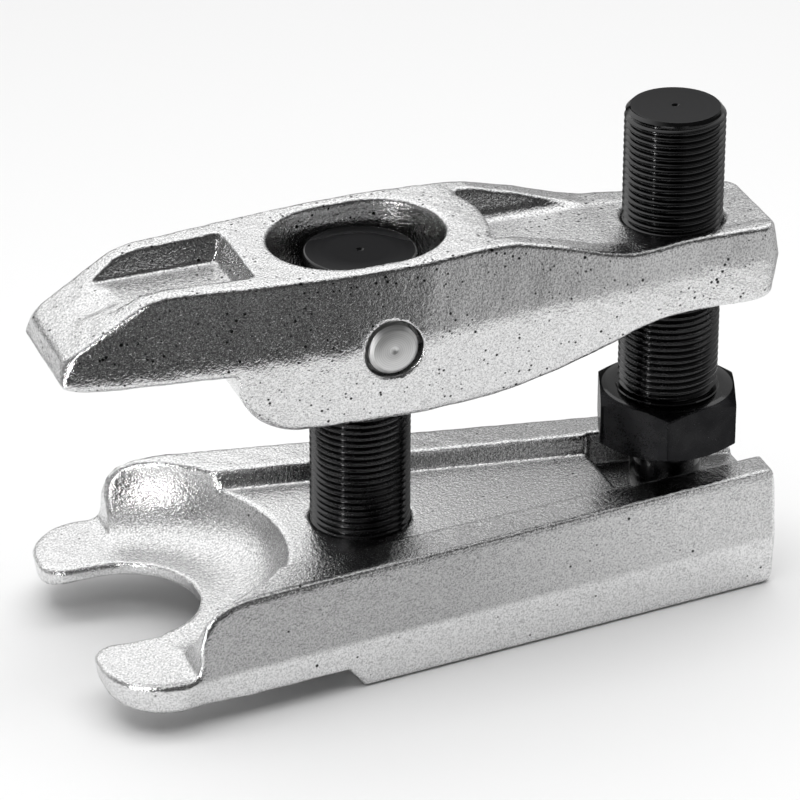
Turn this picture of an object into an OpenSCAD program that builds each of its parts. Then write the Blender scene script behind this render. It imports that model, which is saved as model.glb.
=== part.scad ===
// Ball joint separator: a forged fork, a forged lever on a fulcrum spindle, and a
// pressure spindle that lifts the lever's tail so that its nose presses down on the fork.
// X runs from the fork's tips to the tail, Y is the symmetry axis, Z is up.
// Lengths along X are measured from the fulcrum spindle's axis, which in_frame() shifts
// so that the whole tool is centred on the origin.

/* [Spindles] */
// Thread diameter of both spindles
thread_d = 22; // [18:0.5:23]
// Distance between the two spindle axes
spindle_gap = 71.3; // [66:0.1:76]
// Height of the pressure spindle's upper end
spindle_top = 110.7; // [100:0.1:125]
// Hexagon width across flats
hex_af = 29.6; // [26:0.1:32]
// Hexagon height
hex_h = 12; // [8:0.5:16]
// Height of the hexagon's lower face
hex_z = 32.4; // [32:0.1:36]
// Diameter of the fulcrum spindle's eye head
eye_d = 24.4; // [23.6:0.1:25]
// Height of the eye head's top
eye_top = 87.6; // [84:0.1:90]

/* [Pivot] */
// Height of the lever's pivot axis
pivot_z = 74; // [72:0.5:76]
// Pivot pin diameter
pin_d = 11; // [8:0.5:12]
// Pivot pin length
pin_l = 44.4; // [40:0.2:44.6]

/* [Fork] */
// Width of the fork's opening
mouth_w = 33.6; // [28:0.2:38]
// Height of the side rails
rail_z = 27.9; // [26:0.1:29]
// Height of the channel floor between the rails
floor_z = 24; // [22.5:0.1:25]
// Height of the seat that the thrust pad stands on
seat_z = 20; // [18:0.1:20.2]
// Height of the prongs' top face
prong_z = 12.5; // [11:0.1:14]
// Height of the underside of the fork's front part
belly_z = 5; // [3:0.1:6]

/* [Lever] */
// Half width of the lever at the pivot
lever_w = 22.5; // [22:0.1:24]
// Half width of the lever's tail
tail_w = 14.6; // [14:0.1:17]
// Half width of the lever's nose
nose_w = 14.4; // [12:0.1:16]
// Height of the lever's raised rim at the slot
rim_z = 92.4; // [90:0.1:94]
// Height of the tail's top face
tail_z = 85.2; // [83:0.1:86]
// Height of the tail's underside
tail_low_z = 67.8; // [66:0.1:70]
// Height of the underside of the lever's body
lobe_z = 56.9; // [56:0.1:60]

/* [Thrust foot] */
// Thrust ball diameter
ball_d = 10; // [9:0.1:10.4]
// Thrust pad diameter
pad_d = 16; // [15:0.1:18]
// Diameter of the ball's stem
stem_d = 6; // [4:0.1:7]

/* [Fits] */
// Radial clearance of every part that turns or slides in another
running_gap = 0.05; // [0.03:0.01:0.09]
// Clearance between the eye head and the lever's cheeks
cheek_gap = 0.6; // [0.4:0.1:0.8]

/* [Hidden] */
$fn = 96;
bite = 1;              // how far a cutting body runs past the face that it cuts
tip_x = -66.5;           // fork tips
lever_end_x = 91.6;    // rear end of the lever
end_x = 91.6;          // rear end of the fork
nose_x = -70.1;        // front of the lever's nose
fulcrum_x = -(nose_x + end_x) / 2;
thread_r = thread_d / 2;
bore_r = thread_r + running_gap;

// fork
mouth_r = mouth_w / 2;
mouth_x = -54;         // centre of the mouth's round end
prong_r = 14.2;        // round outer corner of a prong
prong_y = 24.8;
rail_front_x = -46.6;  // front face of the rails
rail_out = 29.8;       // half width over the rails at the fulcrum axis
rail_in = 19.7;        // half width between the rails at the fulcrum axis
rail_taper = 0.143;    // outer half width lost per unit of X
channel_taper = 0.125; // inner half width lost per unit of X
channel_x = -35;       // front of the channel, inside the bowl
seat_x = 57;           // step from the channel floor down to the seat
bowl_r = 14.3;         // radius of the bowl's concave wall
bowl_flat_r = 21.5;    // flat of the bowl around the mouth's centre
step_x = -13.5;        // where the underside steps down to the sole
sole_x = -9.5;
relief_z = 9.6;        // height of the underside relief at the mouth
relief_r = 38;
fork_w = prong_y + prong_r;

// lever
pocket_z = 84;         // floor of the front pocket
front_land_x = -27.6;  // front pocket's rear wall
rear_land_x = 27.3;    // rear pocket's front wall
pocket_w = 11.8;       // half width of both pockets beside the slot
pocket_x = -58.8;      // front of the front pocket, where it runs out on the nose
pocket_front_w = 8.4;
tail_x = 56;           // where the rear pocket runs out on the tail's top
slot_r = 17;           // mouth of the lever's slot
slot_shift = -1;       // the slot's mouth is not quite centred on the pivot
slot_half = 3;         // half of the straight length of the slot's mouth
throat_r = eye_d / 2 + cheek_gap;
throat_half = 3.5;
throat_z = 76;         // below this the slot has straight walls
pin_chamfer = 1;
countersink = 2;        // height and growth of the cones around the pin's ends
cone_sink = 0.6;        // how far each cone's middle lies inside the lever's side

// thrust foot
ball_r = ball_d / 2;
ball_z = seat_z + 7;
pad_h = 10.2;
collar_z = 31.4;         // lower face of the collar under the hexagon
ring_wire_r = 0.5;
ring_r = ball_r + 0.2;
ring_z = ball_z + 2.1;
stem_top = hex_z + hex_h;

function rail_w(x) = rail_out - rail_taper * x;
function channel_w(x) = rail_in - channel_taper * x;
function arc(cx, cy, r, a0, a1, n = 8) =
    [for (i = [0:n]) let (a = a0 + (a1 - a0) * i / n) [cx + r * cos(a), cy + r * sin(a)]];

// moves a sub-part from the fulcrum axis into the tool's own frame
module in_frame() {
    translate([fulcrum_x, 0, 0]) children();
}

// a prism whose outline lies in the XZ plane, centred on Y
module side_prism(half) {
    rotate([90, 0, 0]) linear_extrude(2 * half, center = true) children();
}

// a solid whose plan tapers along X between two half widths
module taper_block(x0, x1, w0, w1, z0, z1) {
    translate([0, 0, z0]) linear_extrude(z1 - z0)
        polygon([[x0, -w0], [x1, -w1], [x1, w1], [x0, w0]]);
}

// a slot with round ends along X; its radius may grow from r0 at z0 to r1 at z1
module round_slot(cx0, cx1, half0, half1, r0, r1, z0, z1) {
    for (s = [-1, 1])
        translate([(cx0 + s * half0 + cx1 + s * half1) / 2, 0, z0])
            cylinder(h = z1 - z0, r1 = r0, r2 = r1);
    span = half0 + half1;
    translate([(cx0 + cx1) / 2 - span / 2, 0, 0]) rotate([90, 0, 90]) linear_extrude(span)
        polygon([[-r0, z0], [r0, z0], [r1, z1], [-r1, z1]]);
}

// one threaded rod with chamfered ends
module threaded_rod(z0, z1, c0, c1) {
    rotate_extrude()
        polygon([[0, z0], [thread_r - c0, z0], [thread_r, z0 + c0],
                 [thread_r, z1 - c1], [thread_r - c1, z1], [0, z1]]);
}

// plan of the fork: tapering rails, two round prongs and the open mouth
module fork_plan() {
    rear_r = 2;
    tip_r = 3.4;
    neck_x = -41;
    difference() {
        union() {
            polygon([[tip_x + prong_r, -fork_w], [neck_x, -rail_w(neck_x)],
                     [end_x - rear_r, -rail_w(end_x - rear_r)],
                     [end_x - rear_r, rail_w(end_x - rear_r)],
                     [neck_x, rail_w(neck_x)], [tip_x + prong_r, fork_w]]);
            translate([end_x - 2 * rear_r, -rail_w(end_x) + rear_r])
                square([2 * rear_r, 2 * (rail_w(end_x) - rear_r)]);
            for (s = [-1, 1]) {
                translate([end_x - rear_r, s * (rail_w(end_x) - rear_r + 0.2)]) circle(rear_r);
                translate([tip_x + prong_r, s * prong_y]) circle(prong_r);
                translate([tip_x + tip_r + 0.4, s * (mouth_r + tip_r)]) circle(tip_r);
                polygon([[tip_x + 0.8, s * (mouth_r + tip_r)], [tip_x + tip_r + 0.4, s * (mouth_r - 1)],
                         [tip_x + prong_r, s * (mouth_r - 1)], [tip_x + prong_r, s * prong_y],
                         [tip_x + 0.8, s * (prong_y - 1.5)]]);
            }
        }
        translate([mouth_x, 0]) circle(mouth_r);
        translate([tip_x - bite, -mouth_r]) square([mouth_x - tip_x + bite, 2 * mouth_r]);
    }
}

// side outline of the fork: stepped sole, rails and prongs
module fork_side() {
    polygon(concat(
        [[tip_x - bite, belly_z], [step_x, belly_z], [sole_x, 0]],
        arc(end_x - 3.5, 3.5, 3.5, -90, 0, 6),
        arc(end_x - 2.5, rail_z - 2.5, 2.5, 0, 90, 6),
        [[-30, rail_z], [-37, rail_z - 1], [-41.5, rail_z - 2.6], [-44.3, rail_z - 5],
         [-46, rail_z - 9], [rail_front_x, prong_z + 2], [rail_front_x - 2, prong_z],
         [tip_x - bite, prong_z]]));
}

// concave bowl around the mouth, which takes the ball joint's boot
module fork_bowl() {
    translate([mouth_x, 0, prong_z]) rotate_extrude()
        polygon(concat([[0, 0]], arc(bowl_flat_r, bowl_r, bowl_r, -90, 0, 12),
                       [[bowl_flat_r + bowl_r + 0.6, rail_z - prong_z + bite],
                        [0, rail_z - prong_z + bite]]));
}

module lower_fork() {
    in_frame() color("silver") difference() {
        intersection() {
            linear_extrude(rail_z) fork_plan();
            side_prism(fork_w + bite) fork_side();
        }
        fork_bowl();
        taper_block(channel_x, seat_x + bite, channel_w(channel_x), channel_w(seat_x + bite),
                    floor_z, rail_z + bite);
        taper_block(seat_x, end_x + bite, channel_w(seat_x), channel_w(end_x + bite),
                    seat_z, rail_z + bite);
        translate([mouth_x, 0, belly_z]) rotate_extrude()
            polygon([[0, -bite], [relief_r, -bite], [relief_r, 0], [mouth_r, relief_z - belly_z],
                     [0, relief_z - belly_z]]);
        translate([0, 0, -bite]) cylinder(h = floor_z + 2 * bite, r = bore_r);
        translate([0, 0, floor_z - 1]) cylinder(h = 1.5 + bite, r1 = bore_r, r2 = bore_r + 1.5);
    }
}

module fulcrum_spindle() {
    in_frame() color("#26272a") difference() {
        union() {
            threaded_rod(2, pivot_z - 11, 1.5, 0);
            rotate_extrude()
                polygon([[0, pivot_z - 12], [thread_r, pivot_z - 12], [eye_d / 2, pivot_z - 10.8],
                         [eye_d / 2, eye_top - 0.5], [eye_d / 2 - 0.5, eye_top], [0, eye_top]]);
        }
        translate([0, 0, pivot_z]) rotate([90, 0, 0])
            cylinder(h = eye_d + 2 * bite, r = pin_d / 2 + running_gap, center = true);
    }
}

// plan of the lever: narrow nose, wide body at the pivot and a narrow tail
module lever_plan() {
    w = [[nose_x, nose_w - 2.5], [nose_x + 2.5, nose_w], [-50, 17.4], [-25, 20.8], [-6, lever_w],
         [8, lever_w], [30, 20.6], [52, 19.2], [62, 17.2], [74, tail_w + 0.3], [lever_end_x - 4, tail_w]];
    polygon(concat([for (p = w) [p[0], -p[1]]],
                   arc(lever_end_x - 4, -tail_w + 4, 4, -90, 0, 6),
                   arc(lever_end_x - 4, tail_w - 4, 4, 0, 90, 6),
                   [for (i = [len(w) - 1:-1:0]) w[i]]));
}

// side outline of the lever: wedge nose, raised rim, flat tail and deep body below the pivot
module lever_side() {
    polygon(concat(
        [[nose_x, 73.2], [nose_x + 1.5, 71.6], [-64, 71], [-32.9, 71.5]],
        arc(-17.9, lobe_z + 15, 15, 180, 270, 8),
        arc(22, lobe_z + 22, 22, -90, -65, 4),
        arc(60, tail_low_z - 10, 10, 115, 90, 4),
        arc(lever_end_x - 3.5, tail_low_z + 3.5, 3.5, -90, 0, 6),
        [[lever_end_x, tail_z - 1], [lever_end_x - 1, tail_z], [57, tail_z], [53, tail_z + 0.4],
         [32, rim_z - 0.7], [27, rim_z], [20, rim_z], [-44, rim_z - 2.3], [-50, rim_z - 3],
         [nose_x + 1, 78.6], [nose_x, 77.4]]));
}

// cross-section of the lever at the pivot: both halves lean in from the parting height
module lever_section() {
    parting_z = 75.4;
    top_lean = 3.4;
    low_lean = 2.6;
    polygon([[-lever_w + low_lean, lobe_z - bite], [lever_w - low_lean, lobe_z - bite],
             [lever_w, parting_z], [lever_w - top_lean, rim_z + bite],
             [-lever_w + top_lean, rim_z + bite], [-lever_w, parting_z]]);
}

module upper_lever() {
    in_frame() color("silver") difference() {
        intersection() {
            translate([0, 0, lobe_z - bite]) linear_extrude(rim_z - lobe_z + 2 * bite) lever_plan();
            side_prism(lever_w + bite) lever_side();
            translate([nose_x - bite, 0, 0]) rotate([90, 0, 90])
                linear_extrude(lever_end_x - nose_x + 2 * bite) lever_section();
        }
        taper_block(pocket_x, front_land_x, pocket_front_w, pocket_w, pocket_z, rim_z + bite);
        taper_block(rear_land_x, tail_x, pocket_w, pocket_w, tail_z, rim_z + bite);
        round_slot(0, slot_shift, throat_half, slot_half, throat_r, slot_r, throat_z, rim_z + 0.4);
        round_slot(0, 0, throat_half, throat_half, throat_r, throat_r, lobe_z - bite, throat_z + 0.01);
        translate([0, 0, pivot_z]) rotate([90, 0, 0]) {
            cylinder(h = 2 * lever_w + 2 * bite, r = pin_d / 2, center = true);
            for (s = [-1, 1]) translate([0, 0, s * (lever_w - cone_sink)])
                cylinder(h = countersink, r1 = pin_d / 2 + (s < 0 ? countersink : 0),
                         r2 = pin_d / 2 + (s > 0 ? countersink : 0), center = true);
        }
        translate([spindle_gap, 0, tail_low_z - bite])
            cylinder(h = tail_z - tail_low_z + 2 * bite, r = bore_r);
        translate([spindle_gap, 0, tail_z - 0.8]) cylinder(h = 0.8 + bite, r1 = bore_r, r2 = bore_r + 1.8);
    }
}

module pivot_pin() {
    in_frame() color("gainsboro") translate([0, 0, pivot_z]) rotate([90, 0, 0])
        rotate_extrude()
            polygon([[0, -pin_l / 2 + 0.4], [0.6, -pin_l / 2], [pin_d / 2 - pin_chamfer, -pin_l / 2],
                     [pin_d / 2, -pin_l / 2 + pin_chamfer], [pin_d / 2, pin_l / 2 - pin_chamfer],
                     [pin_d / 2 - pin_chamfer, pin_l / 2], [0.6, pin_l / 2], [0, pin_l / 2 - 0.4]]);
}

// hexagon with one corner facing the front and 30 degree chamfers on both faces
module hexagon() {
    corner_r = hex_af / 2 / cos(30);
    face_r = hex_af / 2 - 0.4;
    skirt_r = corner_r + 1;
    drop = (skirt_r - face_r) * tan(30);
    intersection() {
        translate([0, 0, hex_z - bite]) rotate([0, 0, 10.5])
            cylinder(h = hex_h + 2 * bite, r = corner_r, $fn = 6);
        rotate_extrude()
            polygon([[0, hex_z], [face_r, hex_z], [skirt_r, hex_z + drop],
                     [skirt_r, hex_z + hex_h - drop], [face_r, hex_z + hex_h], [0, hex_z + hex_h]]);
    }
}

module pressure_spindle() {
    in_frame() translate([spindle_gap, 0, 0]) color("#26272a") difference() {
        union() {
            threaded_rod(hex_z + hex_h - bite, spindle_top, 0, 1.2);
            hexagon();
            translate([0, 0, collar_z]) cylinder(h = hex_z - collar_z + bite, r = pad_d / 2);
        }
        translate([0, 0, collar_z - bite])
            cylinder(h = stem_top - collar_z + bite, r = stem_d / 2 + running_gap);
    }
}

module thrust_ball() {
    in_frame() translate([spindle_gap, 0, 0]) color("gainsboro") rotate_extrude() {
        intersection() {
            translate([0, ball_z]) circle(ball_r);
            translate([0, ball_z - ball_r]) square([ball_r, 2 * ball_r]);
        }
        translate([0, ball_z]) square([stem_d / 2, stem_top - 1 - ball_z]);
    }
}

module thrust_pad() {
    in_frame() translate([spindle_gap, 0, 0]) color("#2c2d30") difference() {
        rotate_extrude()
            polygon([[0, seat_z], [pad_d / 2 - 0.8, seat_z], [pad_d / 2, seat_z + 0.8],
                     [pad_d / 2, seat_z + pad_h - 0.8], [pad_d / 2 - 0.8, seat_z + pad_h],
                     [0, seat_z + pad_h]]);
        translate([0, 0, ball_z]) sphere(r = ball_r + running_gap);
        translate([0, 0, ball_z]) cylinder(h = pad_h, r = ball_r + running_gap);
        translate([0, 0, ring_z]) rotate_extrude() translate([ring_r, 0])
            circle(ring_wire_r + 0.02, $fn = 32);
    }
}

module retaining_ring() {
    in_frame() translate([spindle_gap, 0, ring_z]) color("gainsboro") difference() {
        rotate_extrude() translate([ring_r, 0]) circle(ring_wire_r, $fn = 32);
        translate([0, -0.75, -1]) cube([ring_r + 2, 1.5, 2]);
    }
}

lower_fork();
fulcrum_spindle();
upper_lever();
pivot_pin();
pressure_spindle();
thrust_ball();
thrust_pad();
retaining_ring();
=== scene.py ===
"""Looks of the ball joint separator: two forgings, two threaded spindles and their small turned parts.

Shapes are worked out in millimetres, with X measured from the fulcrum spindle's axis, and are then
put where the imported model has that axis. Each forging is one distance field, meshed on a fine grid.
"""
import math

import bmesh
import bpy
import numpy as np
from mathutils import Matrix, Vector


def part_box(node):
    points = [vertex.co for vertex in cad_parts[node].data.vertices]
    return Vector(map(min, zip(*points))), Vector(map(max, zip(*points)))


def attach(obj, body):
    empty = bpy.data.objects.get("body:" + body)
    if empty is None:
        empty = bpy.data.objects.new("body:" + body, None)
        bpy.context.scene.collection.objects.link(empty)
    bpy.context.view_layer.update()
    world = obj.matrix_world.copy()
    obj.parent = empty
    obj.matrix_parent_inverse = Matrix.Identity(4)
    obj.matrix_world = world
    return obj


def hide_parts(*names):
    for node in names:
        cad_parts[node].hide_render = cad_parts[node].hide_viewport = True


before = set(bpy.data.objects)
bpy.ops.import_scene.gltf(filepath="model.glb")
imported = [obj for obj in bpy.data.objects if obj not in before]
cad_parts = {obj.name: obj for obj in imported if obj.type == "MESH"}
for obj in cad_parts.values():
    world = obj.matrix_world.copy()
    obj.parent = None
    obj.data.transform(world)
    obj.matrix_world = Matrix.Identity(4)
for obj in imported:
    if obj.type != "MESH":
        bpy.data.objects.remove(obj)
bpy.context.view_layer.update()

MM = 0.001


def middle_mm(node, axis):
    """Middle of a CAD node along one axis, in millimetres."""
    low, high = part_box(node)
    return float((low[axis] / MM + high[axis] / MM) / 2)


FULCRUM_X = middle_mm("fulcrum_spindle", 0)
SPINDLE_X = middle_mm("pressure_spindle", 0) - FULCRUM_X
PIVOT_Z = middle_mm("pivot_pin", 2)

# sizes that several pieces share, in millimetres
PIN_R = 5.5
BORE_R = 11.05
FULCRUM_TOP = 87.6
HEX_TOP = 44.4
SPINDLE_TOP = 110.7
BALL_Z = 27.0


# ---------------------------------------------------------------- field tools

def round_max(a, b, r):
    """Intersection of two fields whose common edge is rounded to radius r."""
    u = np.maximum(r + a, 0)
    v = np.maximum(r + b, 0)
    return np.minimum(-r, np.maximum(a, b)) + np.sqrt(u * u + v * v)


def round_min(a, b, r):
    """Union of two fields whose common edge is filled to radius r."""
    return -round_max(-a, -b, r)


def ramp(x, start, end):
    """0 before start, 1 after end, smooth between."""
    t = np.clip((x - start) / (end - start), 0, 1)
    return t * t * (3 - 2 * t)


def soft_kernel(soften, step):
    """Weights that blur samples a step apart over a distance, and how many lie to either side."""
    reach = max(1, int(3 * soften / step))
    kernel = np.exp(-0.5 * (np.arange(-reach, reach + 1) * step / soften) ** 2)
    return kernel / kernel.sum(), reach


class Curve:
    """A height or width given at a few stations along X, softened so that it has no kinks."""

    STEP = 0.25

    def __init__(self, points, soften):
        xs = [p[0] for p in points]
        self.x = np.arange(xs[0] - 15, xs[-1] + 15, self.STEP)
        rough = np.interp(self.x, xs, [p[1] for p in points])
        kernel, reach = soft_kernel(soften, self.STEP)
        self.y = np.convolve(np.pad(rough, reach, mode="edge"), kernel, mode="valid")
        self.slope = np.gradient(self.y, self.STEP)

    def __call__(self, x):
        return np.interp(x, self.x, self.y)

    def tilt(self, x):
        """What a vertical distance from the curve is multiplied by, to be a true distance."""
        return 1 / np.sqrt(1 + np.interp(x, self.x, self.slope) ** 2)


class Outline:
    """Signed distance to a closed outline in a plane, softened and kept on a fine grid."""

    STEP = 0.25

    def __init__(self, points, low, high, soften):
        self.low = np.array(low, float)
        u = np.arange(low[0], high[0], self.STEP)
        v = np.arange(low[1], high[1], self.STEP)
        grid_u, grid_v = np.meshgrid(u, v, indexing="ij")
        distance = np.full(grid_u.shape, 1e9)
        inside = np.zeros(grid_u.shape, bool)
        for (ax, ay), (bx, by) in zip(points, points[1:] + points[:1]):
            du, dv = bx - ax, by - ay
            length = du * du + dv * dv
            if length < 1e-12:
                continue
            t = np.clip(((grid_u - ax) * du + (grid_v - ay) * dv) / length, 0, 1)
            away = (grid_u - ax - t * du) ** 2 + (grid_v - ay - t * dv) ** 2
            distance = np.minimum(distance, away)
            if dv:
                crosses = (ay > grid_v) != (by > grid_v)
                inside ^= crosses & (grid_u < ax + du * (grid_v - ay) / dv)
        signed = np.sqrt(distance) * np.where(inside, -1, 1)
        self.values = self._soften(signed, soften)

    def _soften(self, values, soften):
        kernel, reach = soft_kernel(soften, self.STEP)
        for axis in (0, 1):
            pad = [(0, 0), (0, 0)]
            pad[axis] = (reach, reach)
            wide = np.pad(values, pad, mode="edge")
            size = values.shape[axis]
            values = sum(k * np.take(wide, range(i, i + size), axis) for i, k in enumerate(kernel))
        return values

    def __call__(self, u, v):
        a = np.clip((u - self.low[0]) / self.STEP, 0, self.values.shape[0] - 1.001)
        b = np.clip((v - self.low[1]) / self.STEP, 0, self.values.shape[1] - 1.001)
        i = a.astype(int)
        j = b.astype(int)
        fa = a - i
        fb = b - j
        t = self.values
        front = t[i, j] * (1 - fb) + t[i, j + 1] * fb
        back = t[i + 1, j] * (1 - fb) + t[i + 1, j + 1] * fb
        return front * (1 - fa) + back * fa


def gradient(field, p):
    """Unit gradient of a field at points p."""
    tiny = 0.02
    g = np.empty_like(p)
    for k in range(3):
        step = np.zeros(3)
        step[k] = tiny
        up = p + step
        down = p - step
        g[:, k] = field(*up.T) - field(*down.T)
    return g / np.maximum(np.linalg.norm(g, axis=1), 1e-12)[:, None]


def crossings(values, axis):
    """Grid edges along one axis whose ends lie on different sides, and how far along they cross."""
    first = [slice(None)] * 3
    second = [slice(None)] * 3
    first[axis] = slice(0, -1)
    second[axis] = slice(1, None)
    a = values[tuple(first)]
    b = values[tuple(second)]
    index = np.argwhere((a < 0) != (b < 0))
    va = a[tuple(index.T)]
    vb = b[tuple(index.T)]
    return index, va / (va - vb), va < 0


def settle(field, p, t, axis, step):
    """Slides crossing points along their edges on to the surface, and gives its normals there."""
    p[:, axis] += t * step
    n = gradient(field, p)
    for _ in range(2):
        miss = field(*p.T) / np.where(np.abs(n[:, axis]) > 0.2, n[:, axis], 1e9)
        p[:, axis] -= np.clip(miss, -0.3 * step, 0.3 * step)
    return p, gradient(field, p)


def cells_round(index, axis, shape):
    """Numbers of the four grid cells round each crossed edge, in order."""
    weight = np.array([shape[1] * shape[2], shape[2], 1])
    u = np.zeros(3, int)
    v = np.zeros(3, int)
    u[(axis + 1) % 3] = 1
    v[(axis + 2) % 3] = 1
    return [(index - u - v) @ weight, (index - v) @ weight, index @ weight, (index - u) @ weight]


def field_mesh(field, low, high, step):
    """Vertices, quads and shading normals of the surface where a field is zero, a vertex to a cell.

    A vertex sits where the tangent planes around its cell meet, so crisp edges stay crisp.
    """
    axes = [np.arange(start - 1.5 * step, end + 2.5 * step, step) for start, end in zip(low, high)]
    values = field(*np.meshgrid(*axes, indexing="ij"))
    origin = np.array([a[0] for a in axes])
    rings, points, normals, quads = [], [], [], []
    for axis in range(3):
        index, t, starts_inside = crossings(values, axis)
        p, n = settle(field, origin + index * step, t, axis, step)
        ring = cells_round(index, axis, values.shape)
        quad = np.stack(ring, axis=1)
        quad[~starts_inside] = quad[~starts_inside][:, ::-1]
        quads.append(quad)
        rings += ring
        points += [p] * 4
        normals += [n] * 4
    points = np.concatenate(points)
    normals = np.concatenate(normals)
    cells, where = np.unique(np.concatenate(rings), return_inverse=True)
    vertices = fit_vertices(where, len(cells), points, normals)
    corner = np.stack(np.unravel_index(cells, values.shape), axis=1) * step + origin
    vertices = np.clip(vertices, corner + 0.02 * step, corner + 0.98 * step)
    faces = np.searchsorted(cells, np.concatenate(quads))
    facing = np.stack([np.bincount(where, normals[:, k], len(cells)) for k in range(3)], axis=1)
    facing /= np.maximum(np.linalg.norm(facing, axis=1), 1e-9)[:, None]
    return vertices, faces, facing


def fit_vertices(where, count, points, normals):
    """The point in each cell that lies nearest to all its tangent planes."""
    total = np.bincount(where, minlength=count)
    mean = np.stack([np.bincount(where, points[:, k], count) / total for k in range(3)], axis=1)
    offset = np.einsum("ij,ij->i", normals, points - mean[where])
    square = np.empty((count, 3, 3))
    right = np.empty((count, 3))
    for a in range(3):
        right[:, a] = np.bincount(where, normals[:, a] * offset, count)
        for b in range(3):
            square[:, a, b] = np.bincount(where, normals[:, a] * normals[:, b], count)
    square += np.eye(3) * (0.02 * total[:, None, None])
    return mean + np.linalg.solve(square, right[:, :, None])[:, :, 0]


# ---------------------------------------------------------------- lever

LEVER_GRID = 0.66
LEVER_LOW = (-70.1, -22.5, 56.3)
LEVER_HIGH = (91.6, 22.5, 92.4)
LEVER_TOP = Curve([(-70, 77.4), (-51, 89.3), (-46, 90.2), (-25, 90.7), (0, 91.5), (22, 92.3),
                   (29, 92.1), (40, 89.5), (50, 86.5), (56, 85.3), (91, 85.2)], 0.8)
LEVER_PARTING = Curve([(-70, 72.9), (-57, 72.9), (-46, 73.4), (-35, 74.0), (-24, 74.3),
                       (-13, 74.9), (0, 75.6), (20, 76.8), (40, 78), (91, 78.6)], 3)
LEVER_WIDTH = Curve([(-70, 14.0), (-67, 14.3), (-60, 15.5), (-50, 17.2), (-40, 18.4), (-30, 19.9),
                     (-10, 22.1), (0, 22.4), (8, 22.4), (20, 20.9), (30, 20), (40, 19.5),
                     (50, 18.8), (56, 18.1), (61, 17.4), (67, 15.8), (74, 14.8), (92, 14.4)], 2)
NOSE_UNDER = Curve([(-71, 73.4), (-69, 71.8), (-66, 70.9), (-60, 70.7), (-50, 71.1), (-30, 71.5),
                    (91, 71.5)], 1)
LOBE_UNDER = Curve([(-70, 56.6), (-18, 56.6), (22, 57.2), (30, 58.3), (39, 60.6), (52.5, 65), (58, 67),
                    (63, 67.8), (91, 67.8)], 1.5)
LEVER_FLOOR = 85.0
TAIL_FLOOR = 85.25
WALL_LEAN = 0.45


def waviness(x, y, z):
    """The slight unevenness of a forged skin."""
    a = np.sin(0.83 * x + 0.31 * y) * np.sin(0.71 * y - 0.37 * z + 1.3)
    b = np.sin(0.47 * z + 0.59 * x + 2.1) * np.sin(0.93 * z - 0.41 * y)
    return 0.035 * (a + b)


def lever_slot(x, y, z):
    """The upright slot round the fulcrum spindle, flared towards the top."""
    rise = np.maximum(z - 76, 0)
    centre = -0.07 * rise
    radius = 12.8 + 0.2 * rise
    along = np.maximum(np.abs(x - centre) - 3.4, 0)
    return (np.sqrt(along ** 2 + y ** 2) - radius) * 0.98


def front_pocket(x, side, z):
    """The tapered hollow in the top of the nose."""
    rise = z - LEVER_FLOOR
    half = 7.5 + 0.058 * (x + 58) + WALL_LEAN * rise
    wall = (x - (-28.9 + 0.36 * rise)) * 0.94
    pocket = round_max((side - half) * 0.91, wall, 1.6)
    return round_max(pocket, -rise, 0.6)


def rear_pocket(x, side, z):
    """The hollow behind the slot, whose front wall is part of a cone round the slot."""
    rise = z - TAIL_FLOOR
    rim = np.maximum(LEVER_TOP(x) - TAIL_FLOOR, 0)
    half = 11.9 - 0.02 * (x - 27) + 0.17 * rim - WALL_LEAN * (rim - rise)
    wall = np.maximum((30.2 - 0.12 * rise) - np.sqrt((x + 2) ** 2 + side ** 2), -x)
    pocket = round_max((side - half) * 0.91, wall, 2.2)
    return round_max(pocket, -rise, 2.0)


def lever_body(x, side, z):
    """The lever before its holes: walls that lean away from the parting line, a nose and a lobe."""
    nose_x, lobe_x, tail_x, tail_waist = -70.0, -33.2, 91.6, 78
    above = z - LEVER_PARTING(x)
    half = LEVER_WIDTH(x) - 0.03 * above - 0.18 * (np.sqrt(above ** 2 + 3) - 1.7)
    cheek = (side - half) * 0.98
    rear = x - (tail_x - 0.11 * np.maximum(z - tail_waist, 0) - 0.10 * np.maximum(tail_waist - z, 0))
    front = (nose_x + 0.2 * (z - 73.5) - x) * 0.98
    wall = round_max(cheek, rear, 4.0)
    wall = round_max(wall, front, 1.4 + 1.6 * ramp(z, 73, 79))
    roof = (z - LEVER_TOP(x)) * LEVER_TOP.tilt(x)
    nose = (NOSE_UNDER(x) - z) * NOSE_UNDER.tilt(x)
    lobe = round_max(lobe_x - x, (LOBE_UNDER(x) - z) * LOBE_UNDER.tilt(x), 14.5)
    under = round_min(nose, lobe, 1.2)
    body = round_max(wall, roof, 1.0)
    return round_max(body, under, 1.3 + 0.7 * ramp(x, 84, 89))


def lever_field(x, y, z):
    """The upper lever, with its two pockets, the slot, the pin's hole and the tail's bore."""
    side = np.abs(y)
    body = lever_body(x, side, z) + waviness(x, y, z)
    crest = 0.5 + 4 * ramp(-x, 51, 57) * (1 - ramp(side, 2, 6))
    body = round_max(body, -front_pocket(x, side, z), crest)
    body = round_max(body, -rear_pocket(x, side, z), 0.7)
    body = round_max(body, -lever_slot(x, y, z), 0.8)
    pin = np.sqrt(x ** 2 + (z - PIVOT_Z) ** 2) - (PIN_R + 1.0 * ramp(side, 18.4, 19.2))
    body = round_max(body, -pin, 0.5)
    around = np.sqrt((x - SPINDLE_X) ** 2 + y ** 2)
    bore = around - (BORE_R + np.maximum(z - 84.2, 0) + np.maximum(68.8 - z, 0))
    return np.maximum(body, -bore)


# ---------------------------------------------------------------- fork

MOUTH_X = -54.0
MOUTH_R = 16.8
FORK_PARTING = 11.6
RAIL_TOP = 27.9
FORK_GRID = 0.72
FORK_LOW = (-66.5, -39.0, 0.0)
FORK_HIGH = (91.6, 39.0, RAIL_TOP)


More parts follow.
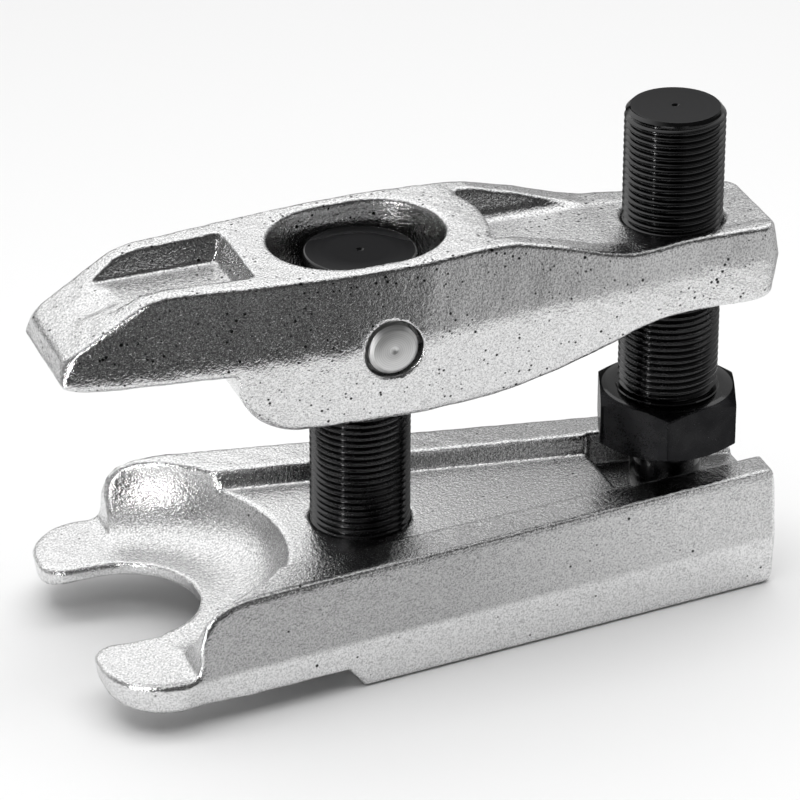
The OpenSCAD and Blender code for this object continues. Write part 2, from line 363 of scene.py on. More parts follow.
def arc(cx, cy, r, start, end, count):
    """Points on an arc, angles in degrees."""
    angles = np.radians(np.linspace(start, end, count))
    return [(cx + r * math.cos(a), cy + r * math.sin(a)) for a in angles]


def fork_plan_points():
    """Half of the fork seen from above: a round prong tip and a side that narrows to the tail."""
    prong = arc(-52.6, 25.1, 13.9, 180, 72, 20)
    return [(-66.5, -60)] + prong + [(-41, 36.75), (92, 30.85 - 0.143 * 92), (92, -60)]


def fork_side_points():
    """The fork seen from its side: the sole with its step, the tail, the rail and its fall to the prong."""
    crown = [(-50.4, 12.5), (-48.7, 13.4), (-48.1, 15.5), (-47.9, 19.5), (-46.7, 23.4), (-44.3, 25.9),
             (-40, 27.4), (-34, RAIL_TOP)]
    return ([(-90, 5), (-13.5, 5), (-9.5, 0)] + arc(88.4, 3.2, 3.2, -90, 0, 8)
            + arc(89.1, RAIL_TOP - 2.5, 2.5, 0, 90, 8) + crown[::-1] + [(-90, 12.5)])


FORK_PLAN = Outline(fork_plan_points(), (-72, -2), (97, 45), 0.5)
FORK_SIDE = Outline(fork_side_points(), (-72, -6), (97, 34), 0.35)


def bowl(rho, z):
    """Round hollow about the mouth: a flat floor and a wall that curves up to the rails."""
    floor_r, floor_z, curve_r = 21.5, 12.5, 14.3
    curve_z = floor_z + curve_r
    wall = np.sqrt((rho - floor_r) ** 2 + (z - curve_z) ** 2) - curve_r
    shape = np.where(rho < floor_r, floor_z - z, wall)
    return np.where((z > curve_z) & (rho >= floor_r), rho - (floor_r + curve_r), shape)


def channel(x, side, z):
    """The shallow channel between the rails and, at the tail, the deeper seat of the thrust pad."""
    half = 19.5 - 0.125 * x - 0.42 * (RAIL_TOP - z)
    upper = round_max((side - half) * 0.92, 24 - z, 0.6)
    seat_half = 20.2 - 0.125 * x - 0.08 * (27.5 - z)
    seat = round_max(side - seat_half, 20 - z, 0.8)
    seat = round_max(seat, 57 - x, 1.5)
    return np.minimum(upper, seat)


def fork_body(x, side, z, rho):
    """The fork before it is hollowed: leaning side walls, the open mouth and the side profile."""
    above = z - FORK_PARTING
    low_lean = 0.06 + 0.14 * ramp(-x, 36, 50)
    lean = np.where(above > 0, 0.065 * above, -low_lean * above)
    plan = FORK_PLAN(x, side) + lean
    plan = round_max(plan, x - 91.5, 2.0)
    mouth = np.where(x < MOUTH_X, side, rho) - MOUTH_R
    prongs = round_max(plan, -mouth, 5.2)
    return round_max(prongs, FORK_SIDE(x, z), 1.2 + 0.3 * ramp(-x, 36, 46))


def fork_field(x, y, z):
    """The lower fork, with the relief under its prongs, the bowl, the channel and the fulcrum's bore."""
    side = np.abs(y)
    rho = np.sqrt((x - MOUTH_X) ** 2 + y ** 2)
    body = fork_body(x, side, z, rho)
    body = body + waviness(x, y + 3, z) * ramp(z, 0.2, 1.5)
    relief_r = 38
    relief = np.maximum(rho - relief_r, (z - 5 - (relief_r - rho) * 0.22) * 0.9765)
    body = round_max(body, -relief, 0.4)
    body = round_max(body, -bowl(rho, z), 0.1 + 1.1 * ramp(rho, 23, 28))
    body = round_max(body, -channel(x, side, z), 0.9)
    around = np.sqrt(x ** 2 + y ** 2)
    bore = around - (BORE_R + 0.6 * np.maximum(z - 23.4, 0) + np.maximum(0.5 - z, 0))
    return np.maximum(np.maximum(body, -bore), -z)


# ---------------------------------------------------------------- turned and threaded parts

PITCH = 1.5
CREST_R = 10.95
# one pitch of the thread: share of the pitch, radius
THREAD = [(0.0, 10.08), (0.1, 10.12), (0.19, 10.3), (0.43, 10.91), (0.465, CREST_R),
          (0.535, CREST_R), (0.57, 10.91), (0.81, 10.3), (0.9, 10.12)]
HEX_TURN = 10.5
HEX_R = 29.6 / 2
# the columns of threads and hexagon, in degrees from a corner: closer together near the corners
HALF_SECTOR = [0, 0.7, 2.6, 6, 10.5, 15.5, 20.5, 25.3]
SECTOR = HALF_SECTOR + [30] + [60 - a for a in HALF_SECTOR[:0:-1]]
ANGLES = np.radians([HEX_TURN + 60 * k + a for k in range(6) for a in SECTOR])


class Shell:
    """Surfaces about one upright axis, which share the same columns and are welded at their rims."""

    def __init__(self, angles=ANGLES):
        self.angles = angles
        self.points = []
        self.faces = []

    def _add(self, grid, faces):
        base = len(self.points)
        self.points += [tuple(p) for p in grid.reshape(-1, 3)]
        self.faces += [[base + i for i in f] for f in faces]

    def rings(self, rows):
        """rows: (radius, height) pairs from the bottom up on the outside; radius may be an array."""
        n = len(self.angles)
        grid = np.empty((len(rows), n, 3))
        for k, (r, z) in enumerate(rows):
            grid[k, :, 0] = r * np.cos(self.angles)
            grid[k, :, 1] = r * np.sin(self.angles)
            grid[k, :, 2] = z
        faces = [(k * n + i, k * n + (i + 1) % n, (k + 1) * n + (i + 1) % n, (k + 1) * n + i)
                 for k in range(len(rows) - 1) for i in range(n)]
        self._add(grid, faces)

    def thread(self, low, high, low_r, high_r):
        """A right-hand thread whose two ends are chamfered down to the radii given."""
        n = len(self.angles)
        per = len(THREAD)
        turns = int((high - low) / PITCH) + 3
        share = np.array([t[0] for t in THREAD])
        radius = np.array([t[1] for t in THREAD])
        base = low - 1.5 * PITCH + PITCH * (np.arange(turns)[:, None] + share).ravel()
        r = np.tile(radius, turns)[:, None] * np.ones(n)
        climb = PITCH * (self.angles - self.angles[0]) / (2 * np.pi)
        z = base[:, None] + climb
        over = (z <= low) | (z >= high)
        z = np.clip(z, low, high)
        r = np.minimum(r, np.minimum(low_r + (z - low), high_r + (high - z)))
        r = np.where(over, np.where(z <= low, low_r, high_r), r)
        grid = np.stack([r * np.cos(self.angles), r * np.sin(self.angles), z], axis=2)
        faces = []
        for j in range(len(base) - per - 1):
            for i in range(n):
                a, b = j * n + i, (j + 1) * n + i
                last = i == n - 1
                c = (j + per) * n if last else a + 1
                d = (j + 1 + per) * n if last else b + 1
                faces.append((a, c, d, b))
        self._add(grid, faces)

    def object(self, name, x):
        """Welds the surfaces and stands them at x, which is measured from the fulcrum's axis."""
        mesh = bpy.data.meshes.new(name)
        bm = bmesh.new()
        verts = [bm.verts.new(p) for p in self.points]
        for f in self.faces:
            bm.faces.new([verts[i] for i in f])
        bmesh.ops.remove_doubles(bm, verts=bm.verts, dist=0.002)
        bmesh.ops.dissolve_degenerate(bm, edges=bm.edges, dist=0.0005)
        bmesh.ops.delete(bm, geom=[v for v in bm.verts if not v.link_faces], context="VERTS")
        bm.to_mesh(mesh)
        bm.free()
        mesh.transform(Matrix.Translation((x + FULCRUM_X, 0, 0)))
        mesh.transform(Matrix.Scale(MM, 4))
        return add_object(name, mesh)


def add_object(name, data):
    made = bpy.data.objects.new(name, data)
    bpy.context.collection.objects.link(made)
    return made


def smooth(obj, angle):
    """Smooth shading that breaks at edges sharper than the angle, in degrees."""
    obj.data.polygons.foreach_set("use_smooth", [True] * len(obj.data.polygons))
    obj.data.set_sharp_from_angle(angle=math.radians(angle))


def pressure_screw():
    """The long spindle: a collar with a blind hole for the ball's stem, a hexagon and a thread."""
    hole_r, collar_r, collar_z, hex_z = 3.05, 8.0, 31.4, 32.4
    face_r = HEX_R - 0.4
    corner_r = HEX_R / math.cos(math.radians(30)) - 0.12
    sector = np.radians((np.degrees(ANGLES) - HEX_TURN) % 60 - 30)
    flat = np.minimum(HEX_R / np.cos(sector), corner_r)
    drop = (flat - face_r) * math.tan(math.radians(30))
    thread_z = HEX_TOP + 0.3
    rim_z = SPINDLE_TOP - 0.05
    shell = Shell()
    shell.rings([(0.0, HEX_TOP), (hole_r, HEX_TOP), (hole_r, collar_z), (collar_r - 0.4, collar_z),
                 (collar_r, collar_z + 0.4), (collar_r, hex_z), (face_r, hex_z), (flat, hex_z + drop),
                 (flat, HEX_TOP - drop), (face_r, HEX_TOP), (11.4, HEX_TOP), (11.2, HEX_TOP + 0.25),
                 (10.0, thread_z)])
    shell.thread(thread_z, rim_z, 10.0, 9.75)
    shell.rings([(9.75, rim_z), (9.7, SPINDLE_TOP), (6.5, SPINDLE_TOP), (3.0, SPINDLE_TOP),
                 (0.9, SPINDLE_TOP), (0.5, SPINDLE_TOP - 0.5), (0.0, SPINDLE_TOP - 0.6)])
    return shell.object("pressure_screw", SPINDLE_X)


def fulcrum_screw():
    """The short spindle: a thread below and a plain head in the lever's slot."""
    foot, neck, top = 2.0, 63.0, FULCRUM_TOP
    shell = Shell()
    shell.rings([(0.0, foot), (9.7, foot)])
    shell.thread(foot, neck, 9.7, 10.0)
    shell.rings([(10.0, neck), (10.9, neck - 0.6), (12.0, neck - 0.4), (12.2, neck), (12.2, top - 0.5),
                 (12.05, top - 0.15), (11.9, top - 0.05), (11.7, top), (6.5, top), (3.0, top),
                 (0.9, top), (0.5, top - 0.45), (0.0, top - 0.55)])
    return shell.object("fulcrum_screw", 0.0)


def lathe(name, x, rows, count=96):
    """A turned part about an upright axis at x, measured from the fulcrum's axis."""
    shell = Shell(np.linspace(0, 2 * np.pi, count, endpoint=False))
    shell.rings(rows)
    return shell.object(name, x)


def cut_hole(obj, radius, centre):
    """Drills a round hole through a piece along Y."""
    bpy.ops.mesh.primitive_cylinder_add(vertices=64, radius=radius * MM, depth=60 * MM,
                                        location=centre, rotation=(math.pi / 2, 0, 0))
    drill = bpy.context.object
    modifier = obj.modifiers.new("hole", "BOOLEAN")
    modifier.operation = "DIFFERENCE"
    modifier.solver = "EXACT"
    modifier.object = drill
    bpy.context.view_layer.objects.active = obj
    bpy.ops.object.modifier_apply(modifier=modifier.name)
    bpy.data.objects.remove(drill, do_unlink=True)


def forging(name, field, low, high, step):
    """A piece made from a field, shaded by the field's own normals."""
    vertices, faces, facing = field_mesh(field, low, high, step)
    vertices = (vertices + [FULCRUM_X, 0, 0]) * MM
    mesh = bpy.data.meshes.new(name)
    mesh.from_pydata(vertices.tolist(), [], faces.tolist())
    mesh.update()
    mesh.polygons.foreach_set("use_smooth", [True] * len(mesh.polygons))
    mesh.normals_split_custom_set_from_vertices(facing.tolist())
    return add_object(name, mesh)


def pin_object():
    """The pivot pin lies along Y: it is turned upright and then laid down."""
    half, r = 22.2, PIN_R
    profile = [(0.0, 0.35), (0.3, 0.33), (0.55, 0.18), (0.8, 0.02), (1.0, 0.0), (r - 1.0, 0.0),
               (r - 0.9, 0.06), (r, 0.9)]
    rows = [(radius, inset - half) for radius, inset in profile]
    rows += [(radius, half - inset) for radius, inset in reversed(profile)]
    pin = lathe("pivot_pin_turned", -FULCRUM_X, rows)
    pin.data.transform(Matrix.Rotation(math.pi / 2, 4, "X"))
    pin.data.transform(Matrix.Translation((FULCRUM_X * MM, 0, PIVOT_Z * MM)))
    return pin


def ball_object():
    """The ball and the stem that holds it in the pressing spindle."""
    r, stem, top = 5.0, 3.0, 43.4
    rows = [(r * math.sin(a), BALL_Z - r * math.cos(a))
            for a in np.linspace(0, math.pi - math.asin(stem / r), 32)]
    rows += [(stem, top - 0.4), (stem - 0.4, top), (0.0, top)]
    return lathe("thrust_ball_turned", SPINDLE_X, rows, 64)


def pad_object():
    """The pad: a cup with a round socket for the ball and a groove for the ring above it."""
    seat, top, r, socket = 20.0, 30.2, 8.0, 5.05
    inner = [(socket * math.sin(a), BALL_Z - socket * math.cos(a))
             for a in np.linspace(math.pi / 2, 0, 20)]
    rows = [(0.0, seat), (r - 0.8, seat), (r - 0.2, seat + 0.2), (r, seat + 0.8), (r, top - 0.8),
            (r - 0.2, top - 0.2), (r - 0.8, top), (socket + 0.3, top), (socket, top - 0.3),
            (socket, 29.62), (5.4, 29.62), (5.72, 29.4), (5.72, 28.8), (5.4, 28.58), (socket, 28.58)]
    return lathe("thrust_pad_turned", SPINDLE_X, rows + inner)


def ring_object():
    """A split ring of round wire."""
    wire, mean, height, gap = 0.5, 5.2, 29.1, 0.15
    around = np.linspace(gap, 2 * np.pi - gap, 64)
    section = np.linspace(0, 2 * np.pi, 16, endpoint=False)
    points = [((mean + wire * math.cos(s)) * math.cos(a), (mean + wire * math.cos(s)) * math.sin(a),
               height + wire * math.sin(s)) for a in around for s in section]
    n = len(section)
    faces = [(i * n + j, i * n + (j + 1) % n, (i + 1) * n + (j + 1) % n, (i + 1) * n + j)
             for i in range(len(around) - 1) for j in range(n)]
    faces += [tuple(range(n)), tuple(range(len(points) - 1, len(points) - n - 1, -1))]
    mesh = bpy.data.meshes.new("retaining_ring_wire")
    mesh.from_pydata(points, [], faces)
    mesh.transform(Matrix.Rotation(-math.pi / 2, 4, "Z"))
    mesh.transform(Matrix.Translation((SPINDLE_X + FULCRUM_X, 0, 0)))
    mesh.transform(Matrix.Scale(MM, 4))
    return add_object(mesh.name, mesh)


# ---------------------------------------------------------------- materials

class Graph:
    """Short names for building one node material."""

    def __init__(self, name):
        self.material = bpy.data.materials.new(name)
        self.material.use_nodes = True
        self.tree = self.material.node_tree
        self.shader = self.tree.nodes["Principled BSDF"]
        coordinates = self.tree.nodes.new("ShaderNodeTexCoord")
        self.place = coordinates.outputs["Object"]
        self.facing = coordinates.outputs["Normal"]

    def node(self, kind, **settings):
        made = self.tree.nodes.new(kind)
        for key, value in settings.items():
            setattr(made, key, value)
        return made

    def link(self, output, target):
        self.tree.links.new(output, target)

    def noise(self, size_mm, detail=2.0, roughness=0.5):
        made = self.node("ShaderNodeTexNoise")
        made.inputs["Scale"].default_value = 1000 / size_mm
        made.inputs["Detail"].default_value = detail
        made.inputs["Roughness"].default_value = roughness
        self.link(self.place, made.inputs["Vector"])
        return made.outputs["Fac"]

    def math(self, operation, a, b=0.0, clamp=False):
        made = self.node("ShaderNodeMath", operation=operation, use_clamp=clamp)
        for socket, value in zip(made.inputs, (a, b)):
            if isinstance(value, (int, float)):
                socket.default_value = value
            else:
                self.link(value, socket)
        return made.outputs[0]

    def span(self, value, low, high, to_low=0.0, to_high=1.0):
        """Maps low..high to to_low..to_high, clamped."""
        made = self.node("ShaderNodeMapRange")
        self.link(value, made.inputs["Value"])
        for key, number in (("From Min", low), ("From Max", high), ("To Min", to_low), ("To Max", to_high)):
            made.inputs[key].default_value = number
        return made.outputs["Result"]

    def blend(self, share, a, b):
        """Colour a where share is 0, b where it is 1."""
        made = self.node("ShaderNodeMix", data_type="RGBA")
        self.link(share, made.inputs["Factor"])
        for key, value in (("A", a), ("B", b)):
            sockets = [s for s in made.inputs if s.name == key and s.type == "RGBA"]
            if isinstance(value, tuple):
                sockets[0].default_value = (*value, 1)
            else:
                self.link(value, sockets[0])
        return [s for s in made.outputs if s.type == "RGBA"][0]

    def paint_flank_shade(self, colour, parting):
        """Painted shade: darkens the colour of what faces sideways above a height in millimetres, less so
        towards the tail.
        """
        place = self.node("ShaderNodeSeparateXYZ")
        self.link(self.place, place.inputs[0])
        facing = self.node("ShaderNodeSeparateXYZ")
        self.link(self.facing, facing.inputs[0])
        upper = self.span(place.outputs[2], (parting - 0.5) * MM, (parting + 0.8) * MM)
        flank = self.span(self.math("ABSOLUTE", facing.outputs[1]), 0.9, 0.96)
        along = self.span(place.outputs[0], 0.0, 60 * MM, 1.0, 0.5)
        # how much painted shade each point gets
        flank_shade_mask = self.math("MULTIPLY", self.math("MULTIPLY", upper, flank), along)
        shade = self.span(flank_shade_mask, 0.0, 1.0, 1.0, 0.55)
        shaded_colour = self.node("ShaderNodeVectorMath", operation="SCALE")
        self.link(colour, shaded_colour.inputs[0])
        self.link(shade, shaded_colour.inputs["Scale"])
        return shaded_colour.outputs[0]

    def bump(self, height, depth_mm, normal=None):
        made = self.node("ShaderNodeBump")
        made.inputs["Strength"].default_value = 1.0
        made.inputs["Distance"].default_value = depth_mm * MM
        self.link(height, made.inputs["Height"])
        if normal is not None:
            self.link(normal, made.inputs["Normal"])
        return made.outputs["Normal"]

    def finish(self, colour, roughness, normal, metallic=1.0):
        self.shader.inputs["Metallic"].default_value = metallic
        self.link(colour, self.shader.inputs["Base Color"])
        self.link(roughness, self.shader.inputs["Roughness"])
        self.link(normal, self.shader.inputs["Normal"])
        return self.material


def forged_steel(name, pit_share, parting=None):
    """Blasted and plated forging: bright grey with a fine blasted grain and dark pits.

    Where the parting line's height in millimetres is given, the flanks above it get painted shade: their
    colour is darkened, less so towards the tail.
    """
    g = Graph(name)
    peel = g.noise(0.9, 2.0, 0.5)
    grain = g.noise(0.40, 2.0, 0.65)
    cloud = g.noise(14, 2.0)
    cells = g.node("ShaderNodeTexVoronoi")
    cells.inputs["Scale"].default_value = 1000 / 1.6
    g.link(g.place, cells.inputs["Vector"])
    draw = g.node("ShaderNodeSeparateColor")
    g.link(cells.outputs["Color"], draw.inputs[0])
    patches = g.span(g.noise(8, 2.0), 0.35, 0.6, 0.6, 1.0)
    pit_size = g.math("MULTIPLY", g.span(draw.outputs[1], 0.0, 1.0, 0.15, 0.27), patches)
    pit_size = g.math("MULTIPLY", g.span(draw.outputs[0], 1 - pit_share, 1.02 - pit_share), pit_size)
    pit = g.math("SUBTRACT", pit_size, cells.outputs["Distance"])
    pit = g.math("MULTIPLY", pit, 16.0, clamp=True)
    colour = g.blend(g.span(grain, 0.32, 0.58), (0.46, 0.46, 0.465), (0.88, 0.88, 0.88))
    # painted shade on the upper flanks, strongest where they face straight sideways
    if parting is not None:
        colour = g.paint_flank_shade(colour, parting)
    colour = g.blend(pit, colour, (0.02, 0.02, 0.02))
    roughness = g.span(g.math("ADD", grain, cloud), 0.7, 1.3, 0.11, 0.18)
    normal = g.bump(grain, 0.10)
    normal = g.bump(peel, 0.12, normal)
    return g.finish(colour, roughness, normal)


def black_steel(name, coat):
    """Oiled black oxide: more oil on a rolled thread than on a forged hexagon."""
    g = Graph(name)
    fine = g.noise(0.4, 3.0)
    cloud = g.noise(6, 2.0)
    colour = g.blend(g.span(cloud, 0.35, 0.65), (0.010, 0.010, 0.011), (0.020, 0.020, 0.021))
    roughness = g.span(g.math("ADD", fine, cloud), 0.7, 1.3, 0.20, 0.34)
    g.shader.inputs["Specular Tint"].default_value = (0.25, 0.25, 0.25, 1)
    g.shader.inputs["Coat Weight"].default_value = coat
    g.shader.inputs["Coat Roughness"].default_value = 0.1
    return g.finish(colour, roughness, g.bump(fine, 0.008))


def turned(name, dark, light, centre, axis, metallic, pitch=0.35, roughness=(0.25, 0.4)):
    """A lathe-turned face: fine rings about an axis through centre."""
    g = Graph(name)
    moved = g.node("ShaderNodeMapping")
    moved.inputs["Location"].default_value = tuple(-c for c in centre)
    g.link(g.place, moved.inputs["Vector"])
    flat = g.node("ShaderNodeVectorMath", operation="MULTIPLY")
    g.link(moved.outputs[0], flat.inputs[0])
    flat.inputs[1].default_value = tuple(0.0 if k == axis else 1.0 for k in range(3))
    length = g.node("ShaderNodeVectorMath", operation="LENGTH")
    g.link(flat.outputs[0], length.inputs[0])
    radius = length.outputs["Value"]
    wobble = g.noise(2.5, 1.0)
    phase = g.math("MULTIPLY", radius, 2 * math.pi / (pitch * MM))
    phase = g.math("ADD", phase, g.math("MULTIPLY", wobble, 0.6))
    groove = g.math("SINE", phase)
    wide = g.math("SINE", g.math("MULTIPLY", radius, 2 * math.pi / (pitch * 4.3 * MM)))
    mix = g.math("ADD", groove, g.math("MULTIPLY", wide, 0.3))
    colour = g.blend(g.span(mix, -2, 2), dark, light)
    rough = g.span(mix, -2, 2, *roughness)
    black_oxide = light[0] < 0.2
    if black_oxide:
        g.shader.inputs["Specular Tint"].default_value = (0.25, 0.25, 0.25, 1)
    return g.finish(colour, rough, g.bump(mix, 0.0004), metallic)


# ---------------------------------------------------------------- assembly

def place(obj, body, slot, node, materials, shading):
    """Paints a piece, smooths it up to the shading angle, hangs it on its body and hides its CAD node."""
    for material in materials:
        obj.data.materials.append(material)
    if shading:
        smooth(obj, shading)
    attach(obj, body)
    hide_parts(node)
    return obj


def paint_top(obj, index, top):
    """The flat upper end of a spindle takes another material."""
    for polygon in obj.data.polygons:
        if abs(polygon.normal.z) > 0.98 and polygon.center.z > (top - 0.7) * MM:
            polygon.material_index = index


def build_object():
    """The eight pieces, each with its material, on the body that carries it."""
    fork_steel = forged_steel("forged_steel_fork", 0.1, FORK_PARTING)
    lever_steel = forged_steel("forged_steel_lever", 0.85)
    black = black_steel("black_oxide_thread", 1.0)
    black_hex = black_steel("black_oxide_hexagon", 0.1)
    fulcrum_at = (FULCRUM_X * MM, 0, 0)
    spindle_at = ((FULCRUM_X + SPINDLE_X) * MM, 0, 0)
    pin_at = (FULCRUM_X * MM, 0, PIVOT_Z * MM)
    fulcrum_end = turned("fulcrum_end_turned", (0.05, 0.05, 0.051), (0.055, 0.055, 0.056), fulcrum_at,
                         2, 1.0, 0.5)
    # painted light: the spindle's turned end is nearly twice as light as the fulcrum's, to make up for the
    # dim cards its top reflects
    spindle_end = turned("spindle_end_turned", (0.09, 0.09, 0.091), (0.10, 0.10, 0.101), spindle_at,
                         2, 1.0, 0.5)
    pin_steel = turned("pin_turned", (0.6, 0.6, 0.6), (0.85, 0.85, 0.84), pin_at, 1, 1.0, 0.45,
                       (0.42, 0.52))
    bright = turned("ball_turned", (0.5, 0.5, 0.5), (0.7, 0.7, 0.7), spindle_at, 2, 1.0, 0.3)

    place(forging("fork_forging", fork_field, FORK_LOW, FORK_HIGH, FORK_GRID), "fork", "forged_steel",
          "lower_fork", [fork_steel], None)
    place(forging("lever_forging", lever_field, LEVER_LOW, LEVER_HIGH, LEVER_GRID), "lever", "forged_steel",
          "upper_lever", [lever_steel], None)
    fulcrum = fulcrum_screw()
    cut_hole(fulcrum, PIN_R + 0.05, pin_at)
    place(fulcrum, "fulcrum", "black_steel", "fulcrum_spindle", [black, fulcrum_end], 35)
    paint_top(fulcrum, 1, FULCRUM_TOP)
    spindle = place(pressure_screw(), "pressure_screw", "black_steel", "pressure_spindle",
                    [black, spindle_end, black_hex], 35)
    paint_top(spindle, 1, SPINDLE_TOP)
    for polygon in spindle.data.polygons:
        if polygon.center.z < HEX_TOP * MM:
            polygon.material_index = 2
    place(pin_object(), "lever", "bright_steel", "pivot_pin", [pin_steel], 35)
    place(ball_object(), "thrust", "bright_steel", "thrust_ball", [bright], 35)
    place(pad_object(), "foot", "black_steel", "thrust_pad", [black], 35)
    place(ring_object(), "foot", "bright_steel", "retaining_ring", [bright], 60)


# ---------------------------------------------------------------- stage

# the camera's angles in degrees, its place from the foot of the fulcrum's axis in metres, its lens in mm
VIEW_AZIMUTH = -19.568
VIEW_ELEVATION = 26.819
VIEW_ROLL = 0.215
VIEW_DISTANCE = 1.0693
VIEW_RIGHT = 0.00875
VIEW_UP = 0.04635
LENS = 219.45


def build_camera():
    """A long lens that looks down on the object from the front left."""
    a, e, roll = (math.radians(v) for v in (VIEW_AZIMUTH, VIEW_ELEVATION, VIEW_ROLL))
    right = Vector((math.cos(a), math.sin(a), 0))
    up = Vector((-math.sin(e) * math.sin(a), math.sin(e) * math.cos(a), math.cos(e)))
    back = Vector((math.sin(a) * math.cos(e), -math.cos(a) * math.cos(e), math.sin(e)))
    turned_right = right * math.cos(roll) + up * math.sin(roll)
    turned_up = up * math.cos(roll) - right * math.sin(roll)
    stand = turned_right * VIEW_RIGHT + turned_up * VIEW_UP + back * VIEW_DISTANCE
    stand.x += FULCRUM_X * MM
    columns = Matrix((turned_right, turned_up, back)).transposed().to_4x4()
    camera = add_object("camera", bpy.data.cameras.new("camera"))
    camera.matrix_world = Matrix.Translation(stand) @ columns
    camera.data.lens = LENS
    camera.data.sensor_width = 36
    camera.data.clip_start = 0.01
    camera.data.clip_end = 50
    bpy.context.scene.camera = camera


def build_overhead():
    """A wide light above, which reflections don't see."""
    data = bpy.data.lights.new("overhead", "AREA")
    data.shape = "RECTANGLE"
    data.size, data.size_y = 1.2, 0.9
    data.energy = 7.4
    light = add_object("overhead", data)
    light.location = (0.0, -0.12, 0.9)
    aim = Vector((0, 0, 0.03)) - light.location
    light.rotation_euler = aim.to_track_quat("-Z", "Y").to_euler()
    light.visible_glossy = False


def build_floor():
    """White paper, a hair below the object's sole so that the two don't coincide."""
    mesh = bpy.data.meshes.new("floor")
    half, level = 3.0, -0.05 * MM
    corners = [(-half, -half), (half, -half), (half, half), (-half, half)]
    mesh.from_pydata([(x, y, level) for x, y in corners], [], [(0, 1, 2, 3)])
    floor = add_object("floor", mesh)
    g = Graph("floor_paper")
    g.shader.inputs["Base Color"].default_value = (0.86, 0.86, 0.86, 1)
    g.shader.inputs["Roughness"].default_value = 0.8
    g.shader.inputs["Specular IOR Level"].default_value = 0.1
    mesh.materials.append(g.material)


def brightness_towards(tree, direction, aim, start, end):
    """Smooth rise from nearly dark to full, by how far a direction leans towards the aim."""
    dot = tree.nodes.new("ShaderNodeVectorMath")
    dot.operation = "DOT_PRODUCT"
    tree.links.new(direction, dot.inputs[0])
    dot.inputs[1].default_value = aim
    rise = tree.nodes.new("ShaderNodeMapRange")
    rise.interpolation_type = "SMOOTHSTEP"
    tree.links.new(dot.outputs["Value"], rise.inputs["Value"])
    for key, value in (("From Min", start), ("From Max", end), ("To Min", 0.05), ("To Max", 1.0)):
        rise.inputs[key].default_value = value
    return rise.outputs["Result"]


def multiply(tree, a, b):
    """Product of an output and another output or a number."""
    product = tree.nodes.new("ShaderNodeMath")
    product.operation = "MULTIPLY"
    tree.links.new(a, product.inputs[0])
    if isinstance(b, float):
        product.inputs[1].default_value = b
    else:
        tree.links.new(b, product.inputs[1])
    return product.outputs[0]


def build_world():
    """A studio seen from the object: dark in front and at the horizon, bright above and behind."""
    world = bpy.data.worlds.new("studio")
    bpy.context.scene.world = world
    world.use_nodes = True
    tree = world.node_tree
    background = tree.nodes["Background"]
    direction = tree.nodes.new("ShaderNodeTexCoord").outputs["Generated"]
    above = brightness_towards(tree, direction, (0, 0, 1), 0.12, 0.32)
    behind = brightness_towards(tree, direction, (0, 0.75, 0.66), 0.35, 0.75)
    strength = multiply(tree, multiply(tree, above, behind), 1.25)
    tree.links.new(strength, background.inputs["Strength"])
    background.inputs["Color"].default_value = (1, 1, 1, 1)


# azimuth in degrees; distance, width, lower and upper end in metres; brightness
STRIPS = {"front_strip": (-16, 0.16, 0.014, 0.09, 0.12, 1.0),
          "bowl_strip": (-50, 0.158, 0.018, 0.11, 0.17, 1.5),
          "left_strip": (-61, 0.16, 0.008, 0.01, 0.16, 20.0)}


def build_strip(name, azimuth, radius, width, low, high, level):
    """An upright strip of light, which only reflections see."""
    a = math.radians(azimuth)
    centre = Vector((radius * math.sin(a), -radius * math.cos(a), 0))
    across = Vector((math.cos(a), math.sin(a), 0)) * (width / 2)
    mesh = bpy.data.meshes.new(name)
    corners = [centre - across, centre + across]
    points = [(c.x, c.y, z) for z in (low, high) for c in corners]
    mesh.from_pydata(points, [], [(0, 1, 3, 2)])
    mesh.materials.append(card_material(level))
    hide_card(add_object(name, mesh))


def hide_card(card):
    """Leaves a card to reflections only."""
    card.visible_camera = False
    card.visible_diffuse = False
    card.visible_shadow = False


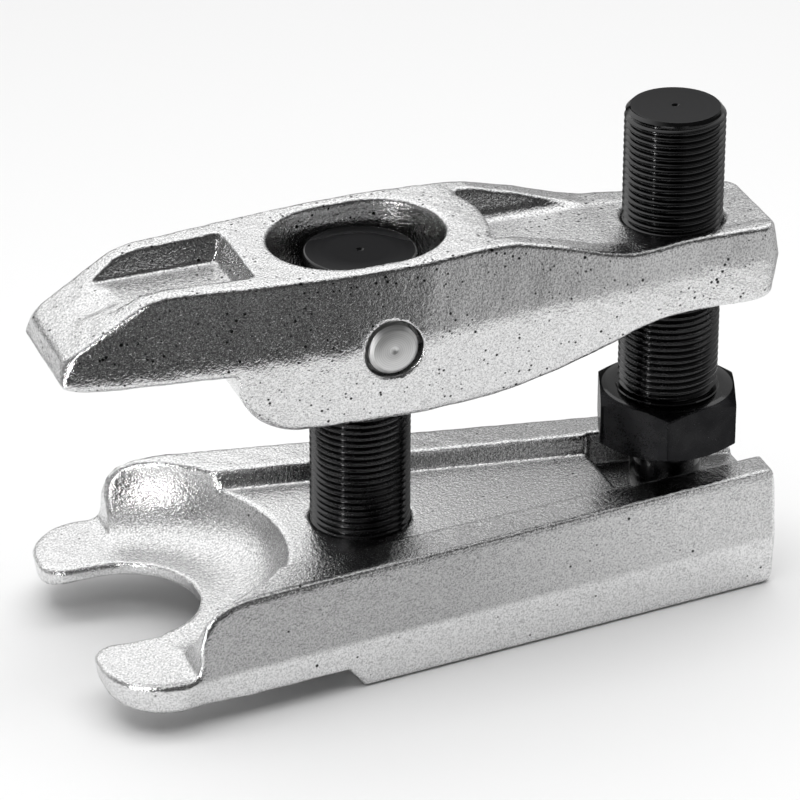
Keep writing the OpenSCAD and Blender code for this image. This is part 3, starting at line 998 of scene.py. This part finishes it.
# azimuth in degrees, grey, and height in metres of the cards, from behind the object round by its left
CARDS = [(-180, 0.12, 0.03), (-115, 0.5, 0.03), (-105, 0.5, 0.13), (-60, 0.1, 0.13), (-25, 0.055, 0.13),
         (8, 0.055, 0.13), (16, 0.2, 0.13), (26, 0.42, 0.13), (60, 0.6, 0.13), (90, 0.5, 0.13),
         (124, 0.45, 0.13), (130, 0.42, 0.178), (152, 0.42, 0.178), (156, 0.3, 0.138), (166, 0.3, 0.135),
         (169, 0.3, 0.03), (180, 0.12, 0.03)]


def build_flags():
    """Grey cards standing round the object, which only its reflections see."""
    radius, count = 0.17, 90
    angles = [-180 + 360 * i / count for i in range(count)]
    azimuths, greys, heights = zip(*CARDS)
    points = []
    for a in angles:
        x, y = radius * math.sin(math.radians(a)), -radius * math.cos(math.radians(a))
        points += [(x, y, 0), (x, y, float(np.interp(a, azimuths, heights)))]
    faces = [(2 * i, 2 * i + 2, 2 * i + 3, 2 * i + 1) for i in range(count - 1)]
    faces.append((2 * count - 2, 0, 1, 2 * count - 1))
    mesh = bpy.data.meshes.new("flags")
    mesh.from_pydata(points, [], faces)
    levels = {}
    for polygon, a in zip(mesh.polygons, angles):
        level = round(float(np.interp(a + 180 / count, azimuths, greys)), 2)
        if level not in levels:
            levels[level] = len(levels)
            mesh.materials.append(card_material(level))
        polygon.material_index = levels[level]
    hide_card(add_object("flags", mesh))


def card_material(level):
    """An even glow, the same from every side."""
    material = bpy.data.materials.new("card_%03d" % round(level * 100))
    material.use_nodes = True
    tree = material.node_tree
    tree.nodes.clear()
    glow = tree.nodes.new("ShaderNodeEmission")
    glow.inputs["Color"].default_value = (level, level, level, 1)
    out = tree.nodes.new("ShaderNodeOutputMaterial")
    tree.links.new(glow.outputs[0], out.inputs["Surface"])
    return material


def build_stage():
    """Camera, paper, studio and lights, shown without any film look."""
    build_camera()
    build_floor()
    build_world()
    build_flags()
    for name, sizes in STRIPS.items():
        build_strip(name, *sizes)
    build_overhead()
    settings = bpy.context.scene.view_settings
    settings.view_transform = "Standard"
    settings.look = "None"


build_object()
build_stage()
